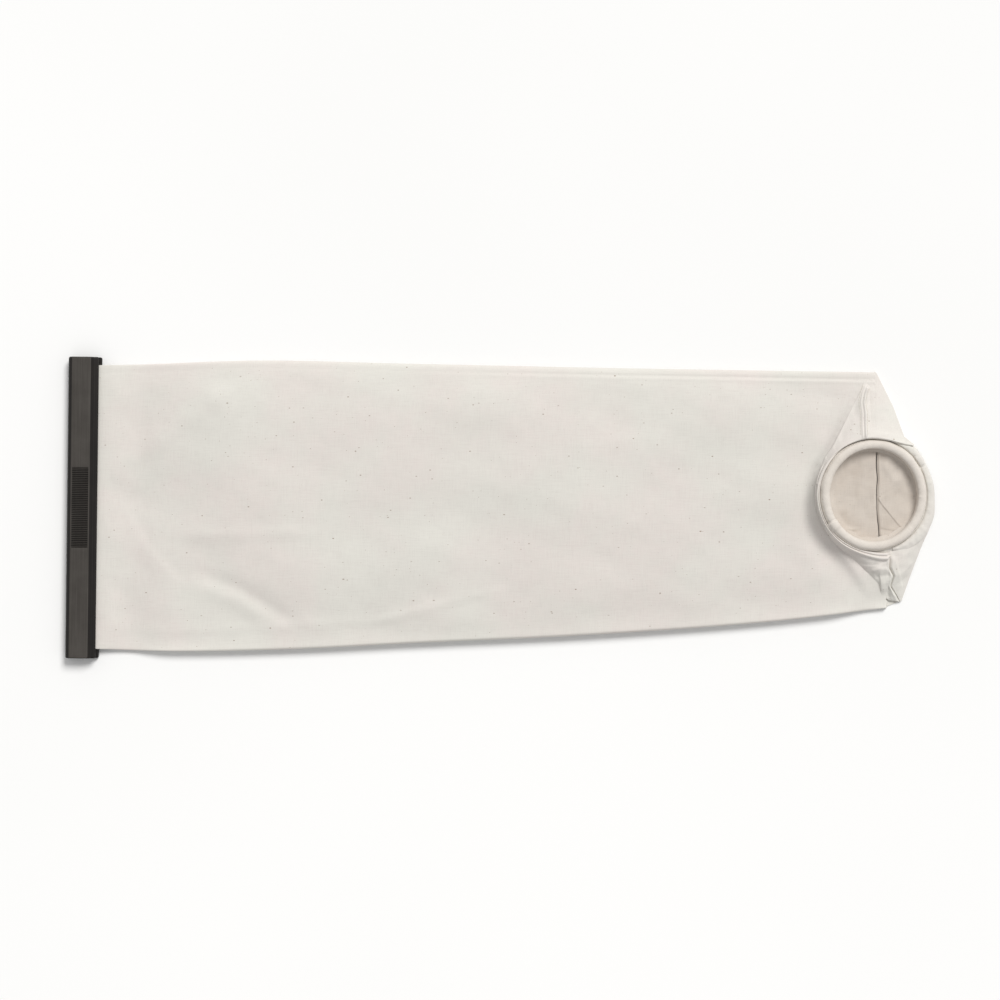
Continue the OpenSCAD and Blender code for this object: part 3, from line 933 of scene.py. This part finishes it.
# The neck's cloth outside the binding, seen only where the rolled rims part
around, out = np.meshgrid(np.linspace(0, 360, 200, endpoint=False), np.linspace(0, 1, 10), indexing="ij")
x, y = polar(around, mix(42.6, 47.5 + 1.2 * hump(around - 285, 18), out))
z = ring_z(x) - 1.0 - 2.2 * out**1.5 + waves(np.radians(around) * 45, out * 5, 8, 55) * 0.2
skirt = np.stack([x, y, np.maximum(z, 2.4)], -1)
neck_skirt = settle(grid("neck_skirt", skirt, CALICO, loop=True, weave="own"))


def ring_row(a, r, z):
    """A row of points at the angles a and radii r round the mouth."""
    return np.stack([*polar(a, r), z], -1)


def corner_edge(z_mid, r, a, base):
    """Rows that turn the cloth under at an edge and take it down to what it lies on."""
    turned = (0.45, 0.06), (0.6, 0.2), (0.35, 0.4), (-0.4, 0.7), (-1.4, 1.0)
    return [ring_row(a, r + dr, mix(z_mid, base, share)) for dr, share in turned]


ROOF_FOLDS = [
    ([(286.5, 70), (300, 76), (310, 84)], 5, -0.7, 0.3),
    ([(300, 108), (303, 90), (309, 68)], 6, 0.7, 0.3),
    ([(266, 58), (275, 75), (284, 96)], 2.5, -0.55, 0.2),
]
ROOF_CREASE = [(285.9, 62.5), (300, 66.2), (312, 66.5), (321, 64.5)]
ROOF_IN = [
    (50.6, 50.9), (56, 48.4), (64, 46), (74, 44.9), (102, 44.8), (131, 44.9), (145.5, 44.9), (158, 45.3),
    (170, 46.2),
]


def roof_up():
    """Upper corner of the mouth end: two facets that meet in the shoulder seam."""
    a = np.linspace(170, 50.6, 230)
    at_left = a > 88.8
    r_in = table_of(ROOF_IN, a)
    left = ray_to(CREASE_L, np.clip(a, 89.2, 171))
    right = ray_to(TOP_RIGHT, np.clip(a, 50.6, 88.4))
    r_out = np.where(at_left, left, right) - 0.2 * hump(a - 88.8, 1.2)
    z_in = ring_z(polar(a, r_in)[0]) + 4.0
    for drop, start, span in ((2.8, 104, 32), (1.9, 72, -14), (1.5, 145, 22), (0.9, 62, -9), (1.7, 57, -6)):
        z_in = z_in - drop * smooth((a - start) / span)
    curl = mix(1, 0.35, smooth((66 - a) / 12))
    x_o, y_o = polar(a, r_out)
    on_body = np.minimum(x_o, 296), y_o
    z_left = np.minimum(body_surface(*on_body) - 0.15, z_in - 0.5)
    z_right = 3.4 + 4.6 * smooth(np.hypot(x_o - 296.8, y_o - 115.3) / 66)
    z_out = np.where(at_left, z_left, z_right)
    base = np.where(at_left, np.minimum(body_top(*on_body) + 1.0, z_out - 0.8), 0.95)
    rows = [
        ring_row(a, r_in + dr, z_in + dz * curl)
        for dr, dz in ((0.35, -3.4), (-0.15, -2.2), (-0.3, -1.1), (0.05, -0.35))
    ]
    for f in np.linspace(0, 1, 46):
        r = mix(r_in + 0.6 * smooth((r_out - r_in) / 2), r_out, f)
        x, y = polar(a, r)
        # The cloth hangs a little between ring and corner
        z = mix(z_in, z_out, f) - 0.9 * np.sin(math.pi * f) * smooth((r_out - r_in) / 6)
        # A flattened hem along the edge that faces the binding
        z += 0.55 * smooth((6.5 - (r - r_in)) / 1.2) * smooth((99 - a) / 6)
        z += crease(x, y, ROOF_CREASE, 0.42, 6, 0.5, 0.06) + folds(x, y, ROOF_FOLDS)
        # The seam stands up in two ridges with a furrow between them
        d, side, share = beside(x, y, SEAM_UP)
        fade = smooth(share / 0.08 + 0.15) * smooth((1.05 - share) / 0.05)
        ridges = 0.7 * hump(d * side - 1.0, 0.7) + 1.9 * hump(d * side + 1.5, 1.05) + 1.2 * hump(d, 4.5)
        z += fade * ridges * smooth(f * 8 + 0.3)
        z += waves(x, y, 12, 61) * 0.13 * np.sin(math.pi * f)
        rows.append(np.stack([x, y, z], -1))
    return np.stack(rows + corner_edge(z, r_out, a, np.minimum(base, z - 0.7)), 0)


upper_rows = roof_up()
roof_upper = settle(grid("roof_upper", upper_rows, CALICO))

COLLAR_IN = [
    (98, 44), (128, 44), (150, 43.8), (180, 43.7), (216, 43.8), (238, 43.8), (250, 43.9), (262, 44.3),
    (270, 44.9), (277, 45.8), (286.6, 47.3),
]
COLLAR_WIDTH = [
    (98, 1.3), (128, 1.4), (142, 2), (180, 2.7), (216, 2.5), (238, 3.3), (255, 3.9), (265, 4.8), (277, 6.1),
    (286.6, 6.2),
]
# The rolled top of the collar, as (share of its width, height, extra height where it is two rolls)
COLLAR_SECTION = [
    (0.15, -6, 0), (0, -2.6, 0), (0.03, -1.1, 0), (0.14, -0.35, 0), (0.28, 0, 0), (0.40, -0.18, -0.4),
    (0.50, -0.45, -1.15), (0.60, -0.18, -0.4), (0.74, 0.05, 0.1), (0.88, -0.3, 0), (0.98, -1.1, 0),
    (1.04, -2.2, 0),
]
CRUMPLES = [
    ([(310.5, -41), (301, -41.5), (294, -43.5)], 1.8, 1, 0.2),
    ([(311, -45.5), (304, -46.5), (298, -48)], 1.8, -0.9, 0.2),
    ([(313.5, -49), (306, -53), (304, -60)], 2.4, 1, 0.2),
    ([(312, -55), (309.5, -60), (311, -65)], 1.7, -1, 0.2),
    ([(316, -60.5), (313, -64), (313, -67)], 1.6, 0.8, 0.25),
]
CORNER_CREASE = [(311.5, -33), (300, -38.5), (290, -38.5), (282, -36)]
# The seam that ends the collar, as (y, x), from the corner up
CORNER_SEAM = [(-67.2, 320.0), (-62, 317.0), (-55.1, 311.9), (-46.9, 314.0), (-40.1, 310.2), (-34, 310.2)]
SEAM_AT = 286.6


def neck_side():
    """The collar round the left of the mouth, rolled at its top, and the lower corner that hangs from it."""
    a = np.concatenate([
        np.linspace(98, 150, 50)[:-1], np.linspace(150, 262, 150)[:-1], np.linspace(262, SEAM_AT, 76),
    ])
    r_in, width = table_of(COLLAR_IN, a), table_of(COLLAR_WIDTH, a)
    tuck = 1 - smooth((a - 122) / 20)
    end = smooth((a - 283.2) / 3.2)
    z_top = ring_z(polar(a, r_in + width / 2)[0]) + 1.3 - 2.6 * tuck - 1.4 * end
    z_top += 0.25 * waves(np.radians(a) * 46, 0 * a, 18, 71)
    foot = np.maximum(ray_to(LEFT_FOOT, np.maximum(a, 143.5)), r_in + width - 1.2)
    foot = np.where(a < 143.5, r_in + width - 0.8, foot)
    x, y = polar(a, foot)
    z_foot = mix(body_surface(np.minimum(x, 302), y) - 0.1, 2.6, smooth((a - 275) / 6))
    z_foot = np.minimum(z_foot, z_top - 4)
    w = width * (1 - 0.35 * end)
    split = smooth((a - 150) / 40)
    rows = [ring_row(a, r_in + w * q, z_top + dz + extra * split) for q, dz, extra in COLLAR_SECTION]
    r_top = r_in + w * COLLAR_SECTION[-1][0]
    reach = foot - r_top
    long = smooth((reach - 1.5) / 10)
    for f in np.linspace(0, 1, 34)[1:]:
        x, y = polar(a, mix(r_top, foot, f))
        z = mix(z_top - 2.2, z_foot, mix(1 - (1 - f) ** 1.25, f, np.clip(reach / 14, 0, 1)))
        z += np.sin(math.pi * f) * long * (1.1 + 0.3 * waves(x, y, 11, 73))
        z += long * (crease(x, y, CORNER_CREASE, -1.0, 5, 0.9, 0.2) + folds(x, y, CRUMPLES))
        # The last stretch turns down into the seam
        z += 0.7 * hump(a - 284.3, 1.0) * long - 2.2 * smooth((a - 285.4) / 1.2) * smooth(f * 6)
        z = np.maximum(z, z_foot - 0.4)
        rows.append(np.stack([x, y, z], -1))
    under = np.where(a < 268, np.maximum(z - 1.0, 1.0), 1.0)
    P = np.stack(rows + corner_edge(z, foot - 0.5, a, np.minimum(under, z - 0.5)), 0)
    # The seam winds a little, so the last columns follow it
    bend = smooth((a - 279) / 7.6)
    line_x = np.interp(P[..., 1], *np.array(CORNER_SEAM).T)
    plain_x, _ = polar(SEAM_AT, np.hypot(P[..., 0] - MOUTH[0], P[..., 1] - MOUTH[1]))
    P[..., 0] += bend * (line_x - plain_x) * (P[..., 1] < -33)
    return P


neck_collar = settle(grid("neck_collar", neck_side(), CALICO))

# Edges of the lower right facet: under the lip, along the seam and along the table, ending in TIP
UNDER_LIP = [
    (305.5, -27.8, 9.4), (312, -26.6, 9.7), (318.5, -24, 9.3), (325.5, -18.8, 8), (333, -12, 5.8),
    (340.2, -5, 4), (345, 1, 3),
]
BY_SEAM = [
    (305.5, -27.8, 9.4), (309, -34.2, 10.8), (309.3, -40.1, 10.6), (313.1, -46.9, 9.2), (311, -55.1, 6.6),
    (316.3, -62, 4), (319.6, -67, 2.7),
]
BY_TABLE = [
    (345, 1, 3), (341.8, -9.4, 2.8), (337, -20.5, 2.7), (332.6, -32, 2.6), (326.5, -49, 2.5),
    (320.4, -67.2, 2.4),
]
TIP = np.array([320.2, -67.2, 2.6])


def lower_right():
    """The plain facet at the lower right, from the lip down to the low corner."""
    F, G = np.meshgrid(np.linspace(0, 1, 60), np.linspace(0, 1, 56), indexing="ij")
    f, g = F[:, 0], G[0]
    top = path(UNDER_LIP, g)
    bend_seam = straight(BY_SEAM, f) - mix(top[0], TIP, f[:, None])
    bend_table = path(BY_TABLE, f) - mix(top[-1], TIP, f[:, None])
    P = mix(top[None], TIP, F[..., None])
    P += (1 - G[..., None]) * bend_seam[:, None] + G[..., None] * bend_table[:, None]
    x, y = P[..., 0], P[..., 1]
    z = P[..., 2] + np.sin(math.pi * G) * (1.3 * (1 - F) + waves(x, y, 13, 81) * 0.2)
    z += crease(x, y, [(313, -29.5), (317, -42), (322, -58)], 0.7, 6, 0.6, 0.15) * smooth(G * 5)
    z += ridge(x, y, [(330, -19), (328, -32), (324, -48)], 3, 0.6, 0.2)
    z += hump(G - 0.06, 0.05) * (1 - F) - 1.5 * hump(G, 0.03)
    P[..., 2] = np.maximum(z, 1.9)
    rows = list(P.transpose(1, 0, 2))
    last = rows[-1]
    for dx, share in ((0.4, 0.25), (0.5, 0.55), (0.0, 0.85), (-1.5, 1.0)):
        rows.append(np.stack([last[:, 0] + dx, last[:, 1], mix(last[:, 2], 0.95, share)], -1))
    return np.stack(rows, 0)


corner_lower = settle(grid("corner_lower_right", lower_right(), CALICO))

LIP_IN = [
    (71, 44.4), (64, 44.5), (39.5, 44.5), (20, 44), (-7.3, 44.2), (-23.6, 44.7), (-42.4, 44.7), (-59, 44.4),
    (-69, 44),
]
LIP_OUT = [
    (71, 46.6), (60, 48.5), (49, 51.6), (38, 50.8), (28.5, 50.2), (10, 50.6), (-6.5, 51.2), (-16.8, 52.9),
    (-30, 53.4), (-45, 52.6), (-59, 50.6), (-69, 47.6),
]


def lip():
    """The wide rolled lip at the right of the mouth."""
    a = np.linspace(71, -69, 240)
    r_in, r_out = table_of(LIP_IN, a), table_of(LIP_OUT, a)
    z_top = ring_z(polar(a, (r_in + r_out) / 2)[0]) + 0.9 + 0.25 * waves(np.radians(a) * 48, 0 * a, 20, 91)
    z_top -= 1.6 * smooth((a - 62) / 8) + 1.6 * smooth((-50 - a) / 16)
    z_top += 0.4 * hump(a - 36, 4) - 0.8 * hump(a - 30, 1.6)
    foot = np.minimum(mix(1.5, 9.0, smooth((-17 - a) / 36)), z_top - 1.5)
    over = (0.0, -5.5), (-0.04, -2.4), (0.0, -1.2), (0.1, -0.35), (0.24, 0.0), (0.42, 0.05), (0.58, -0.15)
    down = (0.72, 0), (0.84, 0.2), (0.93, 0.38), (0.99, 0.58), (1.02, 0.78), (1.0, 0.93), (0.9, 1.0)
    rows = [ring_row(a, mix(r_in, r_out, q), z_top + dz) for q, dz in over]
    rows += [ring_row(a, mix(r_in, r_out, q), mix(z_top - 0.55, foot, share)) for q, share in down]
    P = np.stack(rows, 0)
    P[..., 2] += waves(P[..., 0], P[..., 1], 9, 92) * 0.16 * (P[..., 2] > 2.5)
    return P


mouth_lip = settle(grid("mouth_lip", lip(), CALICO))


def on_surface(x, y, rows, lift=0.1):
    """Height of a made surface under each point, taken from its nearest made points."""
    flat = rows.reshape(-1, 3)
    z = []
    for px, py in zip(x, y):
        d = np.hypot(flat[:, 0] - px, flat[:, 1] - py)
        near = np.argsort(d)[:4]
        w = 1 / (d[near] + 0.05)
        z.append((flat[near, 2] * w).sum() / w.sum() + lift)
    return np.array(z)


def shoulder_row(name, by):
    """A row of stitches on the upper corner, beside its seam."""
    p = path(SEAM_UP, np.linspace(0.04, 0.97, 60))
    d = np.gradient(p, axis=0)
    n = np.stack([d[:, 1], -d[:, 0]], -1)
    x, y = (p + n / np.linalg.norm(n, axis=1, keepdims=True) * by).T
    line = np.stack([x, y, on_surface(x, y, upper_rows[4:50])], -1)
    return stitches(name, line, THREAD, length=1.8, gap=0.6, radius=0.14, rise=0.15)


shoulder_stitches_left = shoulder_row("shoulder_stitches_left", -3.0)
shoulder_stitches_right = shoulder_row("shoulder_stitches_right", 2.6)


# ---------------------------------------------------------------- the clip
def rounded(points, radius, steps=4):
    """A closed outline with its corners rounded off."""
    p = np.array(points, float)
    out = []
    for i in range(len(p)):
        a, b, c = p[i - 1], p[i], p[(i + 1) % len(p)]
        r = min(radius, 0.42 * np.linalg.norm(a - b), 0.42 * np.linalg.norm(c - b))
        start = b + (a - b) / np.linalg.norm(a - b) * r
        stop = b + (c - b) / np.linalg.norm(c - b) * r
        for t in np.linspace(0, 1, steps):
            out.append((1 - t) ** 2 * start + 2 * t * (1 - t) * b + t * t * stop)
    return np.array(out)


clip_w, clip_h = clip_hi[0] - clip_lo[0], clip_hi[2]
upper_w = clip_w - 1.7
LAND = (3.5, 17.9)
GRIP = (4.1, 17.3)
outline = [
    (0.8, 0), (clip_w - 0.8, 0), (clip_w, 0.8), (clip_w, 3.4), (clip_w - 0.6, 4.2), (20.8, 4.2), (20.8, 2.2),
    (3, 2.2), (3, 8.8), (20.8, 8.8), (20.8, 6.8), (upper_w - 0.5, 6.8), (upper_w, 7.3), (upper_w, 9),
    (upper_w - 0.8, 9.8), (20.9, 9.8), (LAND[1], clip_h),
]
round_part = rounded(outline + [(LAND[0], clip_h), (1, clip_h - 1.8), (0, clip_h - 3.4), (0, 0.8)], 0.45)
# Points across the land are added so that the ribs can be cut there
top = round_part[:, 1] > clip_h - 0.02
cut_at = np.where(top & (np.roll(round_part[:, 0], -1) < round_part[:, 0] - 5))[0][0]
land_x = [GRIP[1] + 0.02, GRIP[1] - 0.3, *np.linspace(16, 5.4, 8), GRIP[0] + 0.3, GRIP[0] - 0.02]
land = [(x, clip_h) for x in land_x]
section = np.concatenate([round_part[:cut_at + 1], np.array(land), round_part[cut_at + 1:]])
in_grip = (np.arange(len(section)) > cut_at + 1) & (np.arange(len(section)) < cut_at + len(land))
ribs, grip_l = 44, 64.0
half_l = clip_hi[1]
rib_y = np.linspace(-grip_l / 2, grip_l / 2, ribs * 8 + 1)
END_ROUND = 1.6
ends = np.array([0, 0.12, 0.4, 0.8, 1.2])
plain = np.linspace(-half_l + END_ROUND, -grip_l / 2 - 0.2, 30)
ys = np.concatenate([-half_l + ends, plain, rib_y, -plain[::-1], half_l - ends[::-1]])
clip_rows = []
for y in ys:
    q = section.copy()
    from_end = half_l - abs(y)
    if from_end < END_ROUND:
        shrink = 0.9 * (1 - math.sqrt(max(0, 1 - (1 - from_end / END_ROUND) ** 2)))
        outer = (q[:, 0] < 2.9) | (q[:, 0] > 20.9) | (q[:, 1] < 2.1) | (q[:, 1] > 8.9)
        q[:, 0] = np.where(outer & (q[:, 0] < 1.2), q[:, 0] + shrink, q[:, 0])
        q[:, 0] = np.where(outer & (q[:, 0] > upper_w - 1), q[:, 0] - shrink, q[:, 0])
        q[:, 1] = np.where(q[:, 1] > 9.2, q[:, 1] - shrink * 0.6, q[:, 1])
        q[:, 1] = np.where(q[:, 1] < 0.1, q[:, 1] + shrink * 0.6, q[:, 1])
    if abs(y) <= grip_l / 2:
        phase = ((y + grip_l / 2) / (grip_l / ribs)) % 1
        depth = 0.04 + 0.76 * smooth(0.5 + 0.75 * math.cos(2 * math.pi * phase))
        depth *= smooth((grip_l / 2 - abs(y)) / 0.4 + 0.15)
        q[:, 1] = np.where(in_grip, q[:, 1] - depth, q[:, 1])
    clip_rows.append(np.stack([clip_lo[0] + q[:, 0], np.full(len(q), y), q[:, 1]], -1))
clip_points = np.stack(clip_rows, 0)
closure_clip = grid("clip_body", clip_points, CLIP_PLASTIC, ring=True, flip=False)
first, last = list(range(len(section))), [len(section) * (len(ys) - 1) + k for k in range(len(section))]
mesh = closure_clip.data
faces = [tuple(p.vertices) for p in mesh.polygons] + [tuple(first[::-1]), tuple(last)]
verts = [tuple(v.co) for v in mesh.vertices]
mesh.clear_geometry()
mesh.from_pydata(verts, [], faces)
mesh.update()
mesh.polygons.foreach_set("use_smooth", np.ones(len(mesh.polygons), bool))
low = min(mesh.polygons, key=lambda p: p.center[2])
if low.normal[2] > 0:
    mesh.flip_normals()
for end_face in (mesh.polygons[len(mesh.polygons) - 1], mesh.polygons[len(mesh.polygons) - 2]):
    end_face.use_smooth = False
mesh.set_sharp_from_angle(angle=math.radians(50))

# ---------------------------------------------------------------- materials of what stays from the CAD
for n in ("front_hem_strip", "back_hem_strip"):
    node = frame["nodes"][n]
    node.data.materials.clear()
    node.data.materials.append(STRIP_PLASTIC)

# ---------------------------------------------------------------- what moves with what
for piece in (front_hem, back_hem, front_hem_stitches, back_hem_stitches):
    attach(piece, "bag")
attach(closure_clip, "clip")
for piece in (mouth_bead, bead_stitches):
    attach(piece, "mouth")
# All the cloth of the mouth end, and the stitches on its upper corner, have their placement baked into their
# points
mouth_cloth = (
    front_cloth, back_cloth, floor_left, floor_right, neck_lining, neck_skirt, roof_upper, neck_collar,
    corner_lower, mouth_lip,
)
shoulder_stitches = shoulder_stitches_left, shoulder_stitches_right
for piece in mouth_cloth + shoulder_stitches:
    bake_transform(piece)

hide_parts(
    "front_panel", "upper_seam_allowance", "lower_seam_allowance", "upper_seam_thread",
    "lower_seam_thread",
)
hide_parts("back_panel")
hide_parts("front_hem_thread")
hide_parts("back_hem_thread")
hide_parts("front_mouth_flap")
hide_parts("upper_gusset", "upper_shoulder_seam")
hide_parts("lower_gusset", "lower_shoulder_seam")
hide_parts("neck_band", "neck_band_thread")
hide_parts("mouth_binding", "binding_lap", "mouth_cord", "cord_splice")
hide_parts("binding_thread")
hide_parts("closure_clip")
